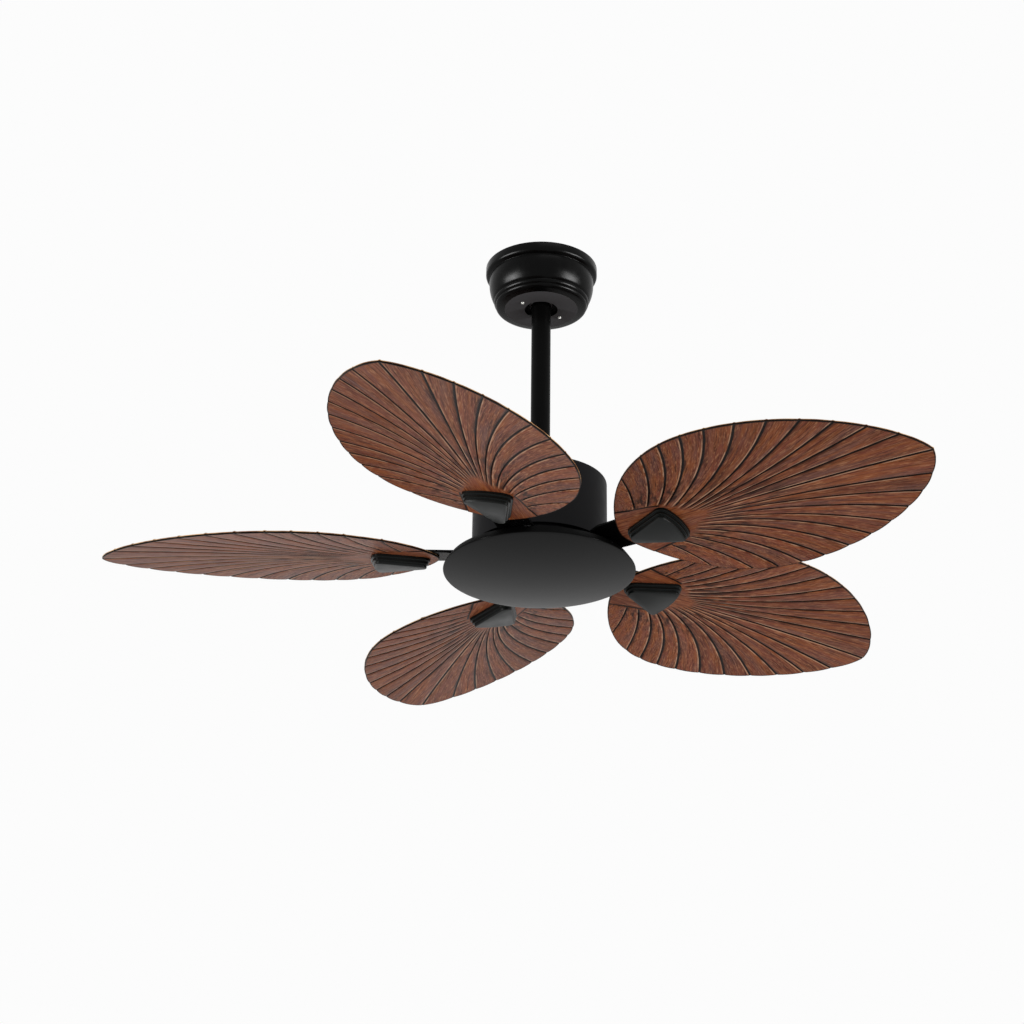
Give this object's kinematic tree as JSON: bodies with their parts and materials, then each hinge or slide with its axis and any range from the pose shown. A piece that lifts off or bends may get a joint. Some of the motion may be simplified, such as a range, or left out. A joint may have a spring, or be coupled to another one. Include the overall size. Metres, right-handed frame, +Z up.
{
  "type": "ceiling fan",
  "caption": "Ceiling fan with palm-leaf blades in dark wood on a short downrod, black canopy, motor housing and round bottom cover, no light.",
  "frame": {"origin": "centre of the ceiling plane, on the top face of the hanger bracket; the fan hangs towards -Z", "axes": "+Z up into the ceiling along the downrod; +X to the right and +Y away from the viewer in the picture"},
  "size_m": [0.9712, 1.015, 0.435],
  "materials": {
    "gloss_black": "gloss black enamel on spun steel",
    "satin_black": "satin black powder coat",
    "matt_black": "matt black powder coat",
    "walnut": "carved leaf in walnut-stained wood with dark grooves, satin lacquer",
    "zinc_steel": "bright zinc-plated steel",
    "dark_steel": "black-oxide steel",
    "cast_aluminium": "die-cast aluminium, as cast",
    "laminated_steel": "stacked electrical steel",
    "copper_wire": "enamelled copper winding",
    "magnet_black": "bonded magnet ring",
    "receiver_plastic": "moulded white plastic",
    "ball_nylon": "moulded black nylon, slightly glossy"
  },
  "bodies": {
    "ceiling_mount": {"hanger_bracket": "zinc_steel", "receiver_box": "receiver_plastic", "canopy": "gloss_black", "canopy_screw_1": "zinc_steel", "canopy_screw_2": "zinc_steel"},
    "hanger_pin": {"cross_pin": "zinc_steel", "cross_pin_clip": "dark_steel"},
    "pendant": {"hanger_ball": "ball_nylon", "ball_set_screw": "dark_steel", "downrod": "satin_black", "motor_coupling": "cast_aluminium", "yoke_set_screw": "dark_steel", "clevis_pin": "zinc_steel", "clevis_clip": "zinc_steel", "coupling_cover": "gloss_black", "motor_shaft": "dark_steel", "shaft_nut": "zinc_steel", "lower_spacer": "dark_steel", "stator_core": "laminated_steel", "stator_windings": "copper_wire", "motor_housing": "satin_black", "housing_screw_1": "zinc_steel", "housing_screw_2": "zinc_steel", "housing_screw_3": "zinc_steel", "cover_plate": "dark_steel", "cover_plate_nut": "zinc_steel", "bottom_cover": "matt_black", "cover_screw_1": "dark_steel", "cover_screw_2": "dark_steel", "cover_screw_3": "dark_steel"},
    "rotor": {"upper_bearing": "zinc_steel", "lower_bearing": "zinc_steel", "rotor_upper_cover": "cast_aluminium", "rotor_magnet_ring": "magnet_black", "rotor_lower_cover": "cast_aluminium", "blade_iron_1": "satin_black", "blade_iron_2": "satin_black", "blade_iron_3": "satin_black", "blade_iron_4": "satin_black", "blade_iron_5": "satin_black", "blade_1": "walnut", "blade_2": "walnut", "blade_3": "walnut", "blade_4": "walnut", "blade_5": "walnut", "medallion_1": "gloss_black", "medallion_2": "gloss_black", "medallion_3": "gloss_black", "medallion_4": "gloss_black", "medallion_5": "gloss_black"}
  },
  "joints": [
    {"name": "hanger_tilt_side", "type": "hinge", "parent": "ceiling_mount", "child": "hanger_pin", "pos_m": [0, 0, -0.036], "axis": [0, 1, 0], "range_deg": [-12, 12]},
    {"name": "hanger_tilt_front", "type": "hinge", "parent": "hanger_pin", "child": "pendant", "pos_m": [0, 0, -0.036], "axis": [1, 0, 0], "range_deg": [-12, 12]},
    {"name": "blade_spin", "type": "hinge", "parent": "pendant", "child": "rotor", "pos_m": [0, 0, -0.4], "axis": [0, 0, 1], "continuous": true}
  ]
}
